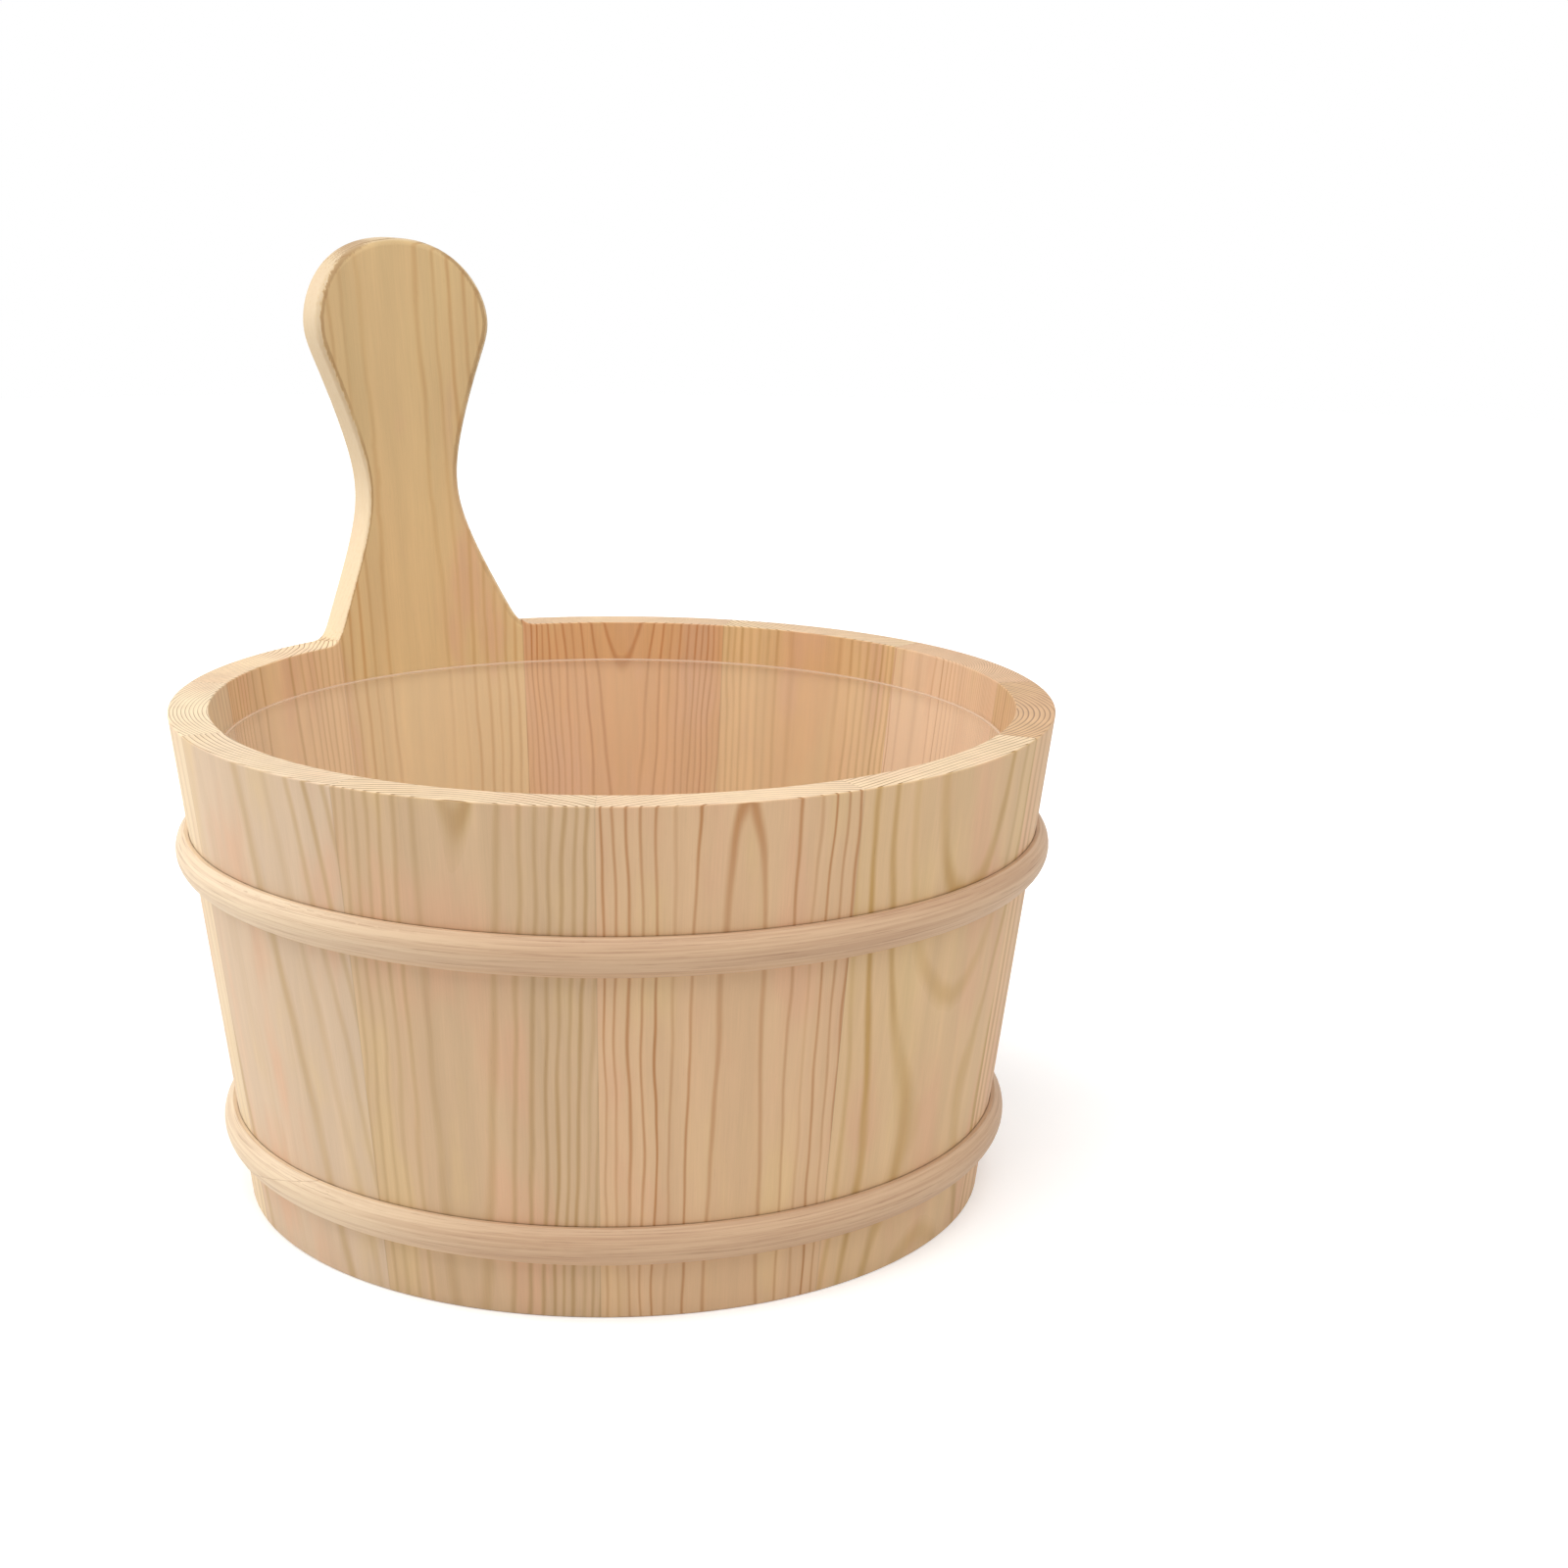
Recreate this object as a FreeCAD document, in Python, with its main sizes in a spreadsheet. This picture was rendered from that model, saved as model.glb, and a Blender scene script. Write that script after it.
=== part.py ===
import FreeCAD, Part
import math
import os
import Sketcher

# Wooden piggin: a small coopered pail of eleven tapered staves, one of which runs on upwards as the handle.
# Two half-round hoops hold the staves, which hold a boarded bottom in a groove. A clear liner lifts out.
# The origin is on the pail's axis, on the floor. +Z is up, and the handle stands at +Y.

Vector = FreeCAD.Vector
os.makedirs("parts", exist_ok=True)
doc = FreeCAD.newDocument("piggin")
sheet = doc.addObject("Spreadsheet::Sheet", "Sizes")

# Driving sizes in millimetres
SIZES = {
    "rim_radius": 135,
    "base_radius": 115.4,
    "body_height": 153,
    "wall": 12,
    "rim_ease": 0.5,
    "foot_ease": 0.5,
    "fit_gap": 0.15,
    "handle_rise": 132.8,
    "handle_width": 66.4,
    "handle_ease": 2.5,
    "root_rise": 8,
    "chime_height": 12,
    "croze_width": 6,
    "croze_depth": 4,
    "bottom_thickness": 12,
    "bottom_bevel": 6,
    "dowel_radius": 3,
    "dowel_length": 24,
    "dowel_offset": 52,
    "hoop_height": 11.5,
    "hoop_thickness": 4.6,
    "hoop_edge": 1.2,
    "upper_hoop_middle": 110.6,
    "lower_hoop_middle": 23.3,
    "liner_wall": 1.1,
    "liner_floor": 1.6,
    "liner_gap": 0.6,
    "liner_seat_gap": 0.3,
    "liner_drop": 12.6,
    "liner_corner": 7,
    "liner_lip_ease": 0.45,
    "overrun": 20,
}

# Each stave's share of the turn, the handle stave first, then clockwise seen from above
STAVE_SHARES = (33.5, 33.5, 32.5, 30.5, 34.8, 34.9, 31.7, 31.8, 32.3, 32.3, 32.2)

# Each bottom board's share of the bottom's width
BOARD_SHARES = (0.27, 0.22, 0.24, 0.27)

# Half of the handle's outline, as shares of half its width and of its rise over the rim: the sweep out of
# the rim, the flare, the narrow neck, the wide lobe and the flat crown
OUTLINE_SHARES = (
    (1.22, 0),
    (1.15, 0),
    (1.06, 0.008),
    (0.97, 0.055),
    (0.87, 0.107),
    (0.50, 0.31),
    (0.52, 0.455),
    (0.885, 0.70),
    (1.05, 0.785),
    (0.84, 0.935),
    (0.36, 1),
    (0, 1),
)


def name_cell(row, alias, value):
    """Write one plain number in the sheet's first column and name it."""
    cell = f"A{row}"
    sheet.set(cell, str(value))
    sheet.setAlias(cell, alias)


for row, (alias, value) in enumerate(SIZES.items(), 1):
    name_cell(row, alias, value)
for number, share in enumerate(STAVE_SHARES):
    name_cell(len(SIZES) + 1 + number, f"stave_share_{number}", share)
doc.recompute()


def size(expression):
    """The number that an expression of named sizes gives."""
    return float(sheet.evalExpression(expression.replace("Sizes.", "")))


def bind(item, **expressions):
    """Tie an object's properties to expressions of named sizes."""
    for name, expression in expressions.items():
        item.setExpression(name.replace("__", "."), expression)


# Words for the pail's wall that every piece shares
HEIGHT = "Sizes.body_height"
TAPER = "(Sizes.rim_radius - Sizes.base_radius) / Sizes.body_height"
HANDLE_TOP = "(Sizes.body_height + Sizes.handle_rise)"
BOTTOM_TOP = "(Sizes.chime_height + Sizes.croze_width / 2 + Sizes.bottom_thickness / 2)"


def outside(height):
    """The staves' outer radius at a height."""
    return f"(Sizes.base_radius + ({height}) * {TAPER})"


def inside(height):
    """The staves' inner radius at a height."""
    return f"(Sizes.base_radius - Sizes.wall + ({height}) * {TAPER})"


def new_body(name):
    """An empty body, labelled as its node."""
    body = doc.addObject("PartDesign::Body", name)
    body.Label = name
    return body


def new_sketch(body, role, name):
    """A sketch on one of the body's own origin planes."""
    sketch = body.newObject("Sketcher::SketchObject", name)
    plane = next(item for item in body.Origin.OriginFeatures if item.Role == role)
    sketch.AttachmentSupport = (plane, [""])
    sketch.MapMode = "FlatFace"
    return sketch


def hold(sketch, element, end, corner):
    """Hold one point of a sketch at a pair of expressions."""
    for kind, expression in zip(("DistanceX", "DistanceY"), corner):
        rule = Sketcher.Constraint(kind, -1, 1, element, end, size(expression))
        number = sketch.addConstraint(rule)
        sketch.setExpression(f"Constraints[{number}]", expression)


def trace(sketch, corners, closed=True):
    """Straight lines from corner to corner, each corner a pair of expressions."""
    points = [Vector(size(x), size(y)) for x, y in corners]
    first = sketch.GeometryCount
    ends = points[1:] + points[:1] if closed else points[1:]
    for start, end in zip(points, ends):
        sketch.addGeometry(Part.LineSegment(start, end), False)
    count = len(ends)
    for number in range(0 if closed else 1, count):
        before = first + (number - 1) % count
        sketch.addConstraint(Sketcher.Constraint("Coincident", before, 2, first + number, 1))
    for number in range(count):
        hold(sketch, first + number, 1, corners[number])
    if not closed:
        hold(sketch, first + count - 1, 2, corners[-1])


# Every control point of a curve pulls alike
PULL = 1


def curve(sketch, corners):
    """A smooth curve whose control points are pairs of expressions."""
    poles = [Vector(size(x), size(y)) for x, y in corners]
    spline = Part.BSplineCurve()
    spline.buildFromPoles(poles, False, 3)
    number = sketch.addGeometry(spline, False)
    first = sketch.GeometryCount
    for pole in poles:
        sketch.addGeometry(Part.Circle(pole, Vector(0, 0, 1), PULL), True)
    sketch.addConstraint(Sketcher.Constraint("Weight", first, PULL))
    for index in range(len(poles)):
        if index:
            sketch.addConstraint(Sketcher.Constraint("Equal", first, first + index))
        rule = "InternalAlignment:Sketcher::BSplineControlPoint"
        sketch.addConstraint(Sketcher.Constraint(rule, first + index, 3, number, index))
        hold(sketch, first + index, 3, corners[index])


def revolve(body, sketch, name, angle=None):
    """Turn a sketch about its upright axis, evenly to both sides."""
    turned = body.newObject("PartDesign::Revolution", name)
    turned.Profile = sketch
    turned.ReferenceAxis = (sketch, ["V_Axis"])
    turned.Midplane = True
    turned.Angle = 360
    if angle:
        bind(turned, Angle=angle)
    doc.recompute()
    return turned


def pocket(body, sketch, name):
    """Cut a sketch right through to both sides, and make sure that it cuts."""
    before = body.Shape.Volume
    cut = body.newObject("PartDesign::Pocket", name)
    cut.Profile = sketch
    cut.Type = "ThroughAll"
    cut.SideType = "Symmetric"
    doc.recompute()
    if not body.Shape.Volume < before:
        raise ValueError(f"{name} cuts nothing")
    return cut


# The staves: each is a slice of one tapered wall, revolved through its own share of the turn. A groove near
# the foot, the croze, takes the bottom's edge.

CROZE_LOW = "(Sizes.chime_height - Sizes.fit_gap)"
TONGUE_RADIUS = f"({inside(CROZE_LOW)} + Sizes.croze_depth)"
TOTAL_SHARE = "(" + " + ".join(f"Sizes.stave_share_{number}" for number in range(len(STAVE_SHARES))) + ")"


def stave_width(number):
    """A stave's angle, in degrees."""
    return f"(360 * Sizes.stave_share_{number} / {TOTAL_SHARE})"


def stave_middle(number):
    """The angle from the handle's middle to a stave's middle, clockwise from above."""
    passed = [f"Sizes.stave_share_{before}" for before in range(1, number)]
    shares = ["Sizes.stave_share_0 / 2", *passed, f"Sizes.stave_share_{number} / 2"]
    return "0" if number == 0 else f"(360 * ({' + '.join(shares)}) / {TOTAL_SHARE})"


def stave_blank(number, label, top):
    """A stave with its croze, before its top is shaped or its edges eased."""
    body = new_body(label)
    croze_high = "(Sizes.chime_height + Sizes.croze_width + Sizes.fit_gap)"
    croze_radius = f"({TONGUE_RADIUS} + Sizes.fit_gap)"
    wall = new_sketch(body, "YZ_Plane", f"{label}_wall")
    corners = [
        (outside("0"), "0"),
        (outside(top), top),
        (inside(top), top),
        (inside(croze_high), croze_high),
        (croze_radius, croze_high),
        (croze_radius, CROZE_LOW),
        (inside(CROZE_LOW), CROZE_LOW),
        (inside("0"), "0"),
    ]
    trace(wall, corners)
    revolve(body, wall, f"{label}_slice", stave_width(number))
    turn_to(body, stave_middle(number))
    return body


def turn_to(body, angle):
    """Turn a body about the pail's axis, clockwise from above."""
    body.Placement = FreeCAD.Placement(Vector(), FreeCAD.Rotation(Vector(0, 0, 1), 0))
    bind(body, Placement__Rotation__Angle=f"-{angle}")


def share_point(width_share, rise_share, side):
    """A point of the handle's outline, from its shares."""
    across = f"{side} * {width_share} * Sizes.handle_width / 2"
    return across, f"Sizes.body_height + {rise_share} * Sizes.handle_rise"


def shape_top(body, label, angle):
    """Saw the waste away around the handle's outline, seen square to the handle."""
    waste = new_sketch(body, "XZ_Plane", f"{label}_waste")
    waste.AttachmentOffset = FreeCAD.Placement(Vector(), FreeCAD.Rotation(Vector(0, 1, 0), 0))
    bind(waste, AttachmentOffset__Rotation__Angle=angle)
    for side in (1, -1):
        curve(waste, [share_point(*share, side) for share in OUTLINE_SHARES])
    right = share_point(*OUTLINE_SHARES[0], 1)
    left = share_point(*OUTLINE_SHARES[0], -1)
    far, over = "(Sizes.rim_radius + Sizes.overrun)", f"({HANDLE_TOP} + Sizes.overrun)"
    frame = [right, (far, HEIGHT), (far, over), (f"-{far}", over), (f"-{far}", HEIGHT), left]
    trace(waste, frame, closed=False)
    pocket(body, waste, f"{label}_outline")


def ease_edges(body, names, name, radius):
    """Round a body's named edges."""
    base = body.Tip
    fillet = body.newObject("PartDesign::Fillet", name)
    fillet.Base = (base, names)
    bind(fillet, Radius=radius)
    doc.recompute()


def is_arris(edge):
    """Does an edge run along the wall, and not through it, at the rim or above?"""
    ends = [vertex.Point for vertex in edge.Vertexes]
    step = [math.hypot(end.x, end.y) - size(outside(end.z)) for end in ends]
    through = max(step) - min(step) > size("Sizes.wall") / 2
    return not through and min(end.z for end in ends) > size(HEIGHT) - size("Sizes.rim_ease")


def foot_edge(shape):
    """The name of the edge round the outside of a stave's foot."""
    low = [edge for edge in shape.Edges if edge.BoundBox.ZMax < size("Sizes.foot_ease") / 2]
    outer = max(low, key=lambda edge: edge.Length)
    return f"Edge{[edge.isSame(outer) for edge in shape.Edges].index(True) + 1}"


def ease_foot(body, label):
    """A small chamfer round the outside of the foot."""
    base = body.Tip
    chamfer = body.newObject("PartDesign::Chamfer", f"{label}_foot")
    chamfer.Base = (base, [foot_edge(base.Shape)])
    bind(chamfer, Size="Sizes.foot_ease")
    doc.recompute()


def side_stave(number):
    """One of the ten staves that end at the rim. The two beside the handle share its sweep."""
    label = f"side_stave_{number:02}"
    beside_handle = number in (1, len(STAVE_SHARES) - 1)
    top = "(Sizes.body_height + Sizes.root_rise)" if beside_handle else HEIGHT
    body = stave_blank(number, label, top)
    if beside_handle:
        shape_top(body, label, stave_middle(number))
    names = [f"Edge{index}" for index, edge in enumerate(body.Shape.Edges, 1) if is_arris(edge)]
    ease_edges(body, names, f"{label}_rim", "Sizes.rim_ease")
    ease_foot(body, label)
    return body


def handle_stave():
    """The tall stave, its edges rounded more and more from the rim to the crown."""
    body = stave_blank(0, "handle_blank", HANDLE_TOP)
    shape_top(body, "handle_blank", "0")
    ease_foot(body, "handle_blank")
    radii = size("Sizes.rim_ease"), size("Sizes.handle_ease")
    eased = doc.addObject("Part::Fillet", "handle_stave")
    eased.Label = "handle_stave"
    eased.Base = body
    eased.Edges = [(index, *radii) for index, edge in enumerate(body.Shape.Edges, 1) if is_arris(edge)]
    doc.recompute()
    return eased


pieces = [handle_stave()]
for number in range(1, len(STAVE_SHARES)):
    pieces.append(side_stave(number))

# The bottom: boards joined edge to edge on dowels, cut round together, their rim thinned to a tongue that
# sits in the croze.

BOARD_MIDDLE = "(Sizes.chime_height + Sizes.croze_width / 2)"


def joint_place(number):
    """Where the joint after so many boards lies, measured across the boards."""
    passed = sum(BOARD_SHARES[:number]) / sum(BOARD_SHARES)
    return f"({2 * passed - 1} * {TONGUE_RADIUS})"


def box_outline(low_x, high_x, low_y, high_y):
    """The four corners of a rectangle."""
    return [(low_x, low_y), (high_x, low_y), (high_x, high_y), (low_x, high_y)]


def bottom_board(number):
    """One board of the bottom, with its holes for the dowels."""
    label = f"bottom_board_{number + 1}"
    body = new_body(label)
    root = f"({inside(CROZE_LOW)} - Sizes.fit_gap)"
    shoulder = f"({root} - Sizes.bottom_bevel)"
    low = f"({BOARD_MIDDLE} - Sizes.bottom_thickness / 2)"
    tongue_low, tongue_high = "Sizes.chime_height", "(Sizes.chime_height + Sizes.croze_width)"
    disc = new_sketch(body, "YZ_Plane", f"{label}_section")
    corners = [
        ("0", low),
        (shoulder, low),
        (root, tongue_low),
        (TONGUE_RADIUS, tongue_low),
        (TONGUE_RADIUS, tongue_high),
        (root, tongue_high),
        (shoulder, BOTTOM_TOP),
        ("0", BOTTOM_TOP),
    ]
    trace(disc, corners)
    revolve(body, disc, f"{label}_disc")
    waste = new_sketch(body, "XY_Plane", f"{label}_waste")
    far = "(Sizes.base_radius + Sizes.overrun)"
    if number > 0:
        trace(waste, box_outline(f"-{far}", far, f"-{far}", joint_place(number)))
    if number + 1 < len(BOARD_SHARES):
        trace(waste, box_outline(f"-{far}", far, joint_place(number + 1), far))
    pocket(body, waste, f"{label}_sides")
    for joint in (number, number + 1):
        if 0 < joint < len(BOARD_SHARES):
            drill_joint(body, joint, f"{label}_holes_{joint}")
    return body


def drill_joint(body, joint, name):
    """Two blind holes across a joint between boards."""
    holes = new_sketch(body, "XZ_Plane", name)
    holes.AttachmentOffset = FreeCAD.Placement(Vector(0, 0, -size(joint_place(joint))), FreeCAD.Rotation())
    bind(holes, AttachmentOffset__Base__z=f"-{joint_place(joint)}")
    radius = "(Sizes.dowel_radius + Sizes.fit_gap)"
    for side in ("", "-"):
        centre = (f"{side}Sizes.dowel_offset", BOARD_MIDDLE)
        circle = Part.Circle(Vector(size(centre[0]), size(centre[1])), Vector(0, 0, 1), size(radius))
        number = holes.addGeometry(circle, False)
        hold(holes, number, 3, centre)
        rule = holes.addConstraint(Sketcher.Constraint("Radius", number, size(radius)))
        holes.setExpression(f"Constraints[{rule}]", radius)
    before = body.Shape.Volume
    cut = body.newObject("PartDesign::Pocket", f"{name}_cut")
    cut.Profile = holes
    cut.SideType = "Symmetric"
    bind(cut, Length="Sizes.dowel_length + 2 * Sizes.fit_gap")
    doc.recompute()
    if not body.Shape.Volume < before:
        raise ValueError(f"{name} drills nothing")


def bottom_dowels():
    """The dowels in the joints between the boards, two to a joint, as one group."""
    pins = []
    for joint in range(1, len(BOARD_SHARES)):
        for side in ("", "-"):
            pin = doc.addObject("Part::Cylinder", f"dowel_{len(pins) + 1}")
            pin.Placement = FreeCAD.Placement(Vector(), FreeCAD.Rotation(Vector(1, 0, 0), -90))
            bind(pin, Radius="Sizes.dowel_radius", Height="Sizes.dowel_length")
            bind(pin, Placement__Base__x=f"{side}Sizes.dowel_offset", Placement__Base__z=BOARD_MIDDLE)
            bind(pin, Placement__Base__y=f"{joint_place(joint)} - Sizes.dowel_length / 2")
            pins.append(pin)
    group = doc.addObject("Part::Compound", "bottom_dowels")
    group.Label = "bottom_dowels"
    group.Links = pins
    doc.recompute()
    return group


for number in range(len(BOARD_SHARES)):
    pieces.append(bottom_board(number))
pieces.append(bottom_dowels())

# The hoops: half-round strips bent into rings, flat side in, driven up the taper until they are tight.


def hoop(label, middle):
    """One hoop round the pail, its flat side lying along the wall's taper."""
    body = new_body(label)
    low, high = f"({middle} - Sizes.hoop_height / 2)", f"({middle} + Sizes.hoop_height / 2)"
    corners = []
    for height, reach in ((high, "Sizes.hoop_edge"), (high, "0"), (low, "0"), (low, "Sizes.hoop_edge")):
        corners.append((f"({outside(height)} + Sizes.fit_gap + {reach})", height))
    section = new_sketch(body, "YZ_Plane", f"{label}_section")
    trace(section, corners, closed=False)
    chord = f"(Sizes.hoop_height * sqrt(1 + ({TAPER}) ^ 2))"
    bulge = "(Sizes.hoop_thickness - Sizes.hoop_edge)"
    radius = f"(({chord} ^ 2 / 4 + {bulge} ^ 2) / (2 * {bulge}))"
    top, foot = (Vector(size(corners[index][0]), size(corners[index][1])) for index in (0, 3))
    across = (top - foot).cross(Vector(0, 0, 1)).normalize()
    face = Part.Arc(foot, (top + foot) / 2 + across * size(bulge), top)
    number = section.addGeometry(face, False)
    section.addConstraint(Sketcher.Constraint("Coincident", number - 1, 2, number, 1))
    section.addConstraint(Sketcher.Constraint("Coincident", number, 2, 0, 1))
    rule = section.addConstraint(Sketcher.Constraint("Radius", number, size(radius)))
    section.setExpression(f"Constraints[{rule}]", radius)
    revolve(body, section, f"{label}_ring")
    return body


pieces.append(hoop("upper_hoop", "Sizes.upper_hoop_middle"))
pieces.append(hoop("lower_hoop", "Sizes.lower_hoop_middle"))

# The liner: a thin clear cup that stands on the bottom, a little clear of the wall, and lifts straight out.


def ring_names(shape, level):
    """The names of a shape's round edges that lie level at a height."""
    names = []
    for index, edge in enumerate(shape.Edges, 1):
        box = edge.BoundBox
        flat = abs(box.ZMin - level) < size("Sizes.fit_gap") and abs(box.ZMax - level) < size("Sizes.fit_gap")
        if flat and box.XLength > size("Sizes.base_radius"):
            names.append(f"Edge{index}")
    return names


def liner():
    """The liner's shell, its corner and lip rounded."""
    body = new_body("liner")
    foot = f"({BOTTOM_TOP} + Sizes.liner_seat_gap)"
    floor = f"({foot} + Sizes.liner_floor)"
    lip = f"({HEIGHT} - Sizes.liner_drop)"
    clear = "Sizes.liner_gap"
    inner = "(Sizes.liner_gap + Sizes.liner_wall)"
    corners = [
        ("0", foot),
        (f"({inside(foot)} - {clear})", foot),
        (f"({inside(lip)} - {clear})", lip),
        (f"({inside(lip)} - {inner})", lip),
        (f"({inside(floor)} - {inner})", floor),
        ("0", floor),
    ]
    section = new_sketch(body, "YZ_Plane", "liner_section")
    trace(section, corners)
    revolve(body, section, "liner_cup")
    heights = ((foot, "Sizes.liner_corner"), (floor, "(Sizes.liner_corner - Sizes.liner_wall)"))
    for height, radius in heights:
        level = size(height)
        names = ring_names(body.Shape, level)
        ease_edges(body, names, f"liner_corner_{len(body.Group)}", radius)
    ease_edges(body, ring_names(body.Shape, size(lip)), "liner_lip", "Sizes.liner_lip_ease")
    return body


pieces.append(liner())

# Every object must have come out sound before anything is written

doc.recompute()
for item in doc.Objects:
    if "Invalid" in item.State or "Error" in item.State:
        raise ValueError(f"{item.Label} failed")
for piece in pieces:
    if piece.Shape.isNull() or not piece.Shape.isValid():
        raise ValueError(f"{piece.Label} has no sound shape")
    print(piece.Label, round(piece.Shape.Volume), "mm3 in", len(piece.Shape.Solids), "solid(s)")
for piece in pieces:
    piece.Shape.exportStep(f"parts/{piece.Label}.step")
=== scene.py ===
import math

import bpy
from mathutils import Matrix, Vector


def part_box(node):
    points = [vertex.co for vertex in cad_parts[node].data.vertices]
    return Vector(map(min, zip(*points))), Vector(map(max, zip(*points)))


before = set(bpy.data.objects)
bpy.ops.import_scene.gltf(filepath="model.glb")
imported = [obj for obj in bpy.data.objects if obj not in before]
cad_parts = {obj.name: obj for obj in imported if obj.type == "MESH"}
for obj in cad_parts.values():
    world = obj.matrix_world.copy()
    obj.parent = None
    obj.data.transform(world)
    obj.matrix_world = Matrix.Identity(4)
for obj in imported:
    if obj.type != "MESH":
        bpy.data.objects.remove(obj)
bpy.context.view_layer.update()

# The bottom: four pine boards, edge-joined and turned to a disc whose thinned rim sits in
# the staves' groove. Their grain runs along the joints, and each board comes from another
# log, so the heart of the tree lies somewhere else under each of them.
MM = 0.001


def tone(red, green, blue):
    """A colour as the eye names it, 0 to 255, in the renderer's own linear values."""
    shares = [value / 255 for value in (red, green, blue)]
    return tuple(s / 12.92 if s <= 0.04045 else ((s + 0.055) / 1.055) ** 2.4 for s in shares) + (1,)


class Finish:
    """A material or a node group that is put together one node at a time."""

    def __init__(self, tree):
        self.tree = tree

    def add(self, kind, feeds=None, **settings):
        """One node, with what feeds its sockets: another node's output or a plain value."""
        node = self.tree.nodes.new(kind if "Group" in kind else "ShaderNode" + kind)
        for name, value in settings.items():
            setattr(node, name, value)
        for socket, feed in (feeds or {}).items():
            self.feed(node.inputs[socket], feed)
        return node

    def feed(self, socket, feed):
        if isinstance(feed, bpy.types.NodeSocket):
            self.tree.links.new(feed, socket)
        else:
            socket.default_value = feed

    def sum(self, operation, first, second=0.0, third=0.0):
        return self.add("Math", {0: first, 1: second, 2: third}, operation=operation).outputs[0]

    def sway(self, noise, size, middle):
        """A noise of 0 to 1 as a sway of this size about the middle."""
        return self.sum("MULTIPLY_ADD", self.sum("SUBTRACT", noise, 0.5), size, middle)

    def step(self, value, low, high):
        """Nought at low, one at high, and a smooth rise between them."""
        feeds = {"Value": value, "From Min": low, "From Max": high}
        return self.add("MapRange", feeds, interpolation_type="SMOOTHSTEP").outputs[0]

    def vector(self, x=0.0, y=0.0, z=0.0):
        return self.add("CombineXYZ", {0: x, 1: y, 2: z}).outputs[0]

    def parts(self, vector):
        return self.add("SeparateXYZ", {0: vector}).outputs

    def turned(self, place, degrees):
        """The three parts of a place, once it is turned so far about the pail's axis."""
        feeds = {"Vector": place, "Angle": math.radians(degrees)}
        return self.parts(self.add("VectorRotate", feeds, rotation_type="Z_AXIS").outputs[0])

    def length(self, vector):
        return self.add("VectorMath", {0: vector}, operation="LENGTH").outputs["Value"]

    def scaled(self, colour, size):
        return self.add("VectorMath", {0: colour, "Scale": size}, operation="SCALE").outputs[0]

    def blend(self, share, first, second):
        return self.add("Mix", {0: share, 6: first, 7: second}, data_type="RGBA").outputs[2]

    def noise(self, place, seed=0.0, detail=2.0, roughness=0.5):
        feeds = {"Vector": place, "W": seed, "Scale": 1.0, "Detail": detail, "Roughness": roughness}
        return self.add("TexNoise", feeds, noise_dimensions="4D").outputs[0]

    def stretched(self, across, depth, along, wide, long):
        """A place in the wood, counted in grains of one width and one length."""
        sizes = [self.sum("DIVIDE", value, size) for value, size in
                 ((across, wide), (depth, wide), (along, long))]
        return self.vector(*sizes)


# Pine's colours besides each board's own: the red heart, two blushes of the sapwood, and
# the summer wood where it is cut across the grain
HEARTWOOD = tone(212, 162, 112)
HEART_LATE = tone(188, 128, 78)
ROSE = tone(214, 168, 134)
STRAW = tone(218, 188, 136)
END_LATE = tone(122, 88, 55)

# How far the fibres stray from straight, over which width and length of the board
WANDER, WANDER_WIDE, WANDER_LONG = 4.5 * MM, 30 * MM, 110 * MM
WAVE, WAVE_WIDE, WAVE_LONG = 3.0 * MM, 12 * MM, 32 * MM

# The years: good and poor ones follow each other every few rings, and no two summer bands
# are equally dark or wide
SEASONS_LONG = 7 * MM
UNEVEN_YEARS = 0.8
FAINTEST_BAND, BAND_SPREAD = 0.40, 0.58
SLANT_WIDENS = 0.5
END_NARROWS = -0.4
BAND_FULL, BAND_ENDS, END_KEEPS = -0.52, -0.44, 0.24
FADED_LOW, FADED_HIGH = 0.36, 0.6
FADED_LEAST, FADED_MORE = 0.45, 0.6
YEAR_DARKENS = 0.10
END_DARKENS = 1.1

# Patches, blushes, fibres and pores, each with its width, its length and how much it shows
BLUSH_WIDE, BLUSH_LONG = 24 * MM, 70 * MM
ROSE_LOW, ROSE_HIGH, ROSE_SHARE = 0.50, 0.66, 0.6
STRAW_LOW, STRAW_HIGH, STRAW_SHARE = 0.48, 0.32, 0.5
RED_EDGE, RED_SHARE = 5 * MM, 0.75
END_PALE_SHARE, END_LATE_SHARE = 0.55, 0.75
FIBRE_WIDE, FIBRE_LONG, FIBRE_SHADE = 0.35 * MM, 16 * MM, 0.20
TINT_WIDE, TINT_LONG, TINT_SHADE = 9 * MM, 130 * MM, 0.34
PORE_WIDE, PORE_LONG, PORE_SHADE = 0.3 * MM, 3.5 * MM, -0.20
PORE_LOW, PORE_HIGH, PORE_LEAST, PORE_IN_BAND = 0.72, 0.8, 0.2, 0.6

# How rough bare pine is, how much smoother its summer bands are, and what stands up from it
PINE_ROUGH, BAND_SMOOTHER, FIBRE_ROUGHER = 0.55, -0.10, 0.12
FIBRE_STANDS, PORE_SINKS = 0.35, -0.5

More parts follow.
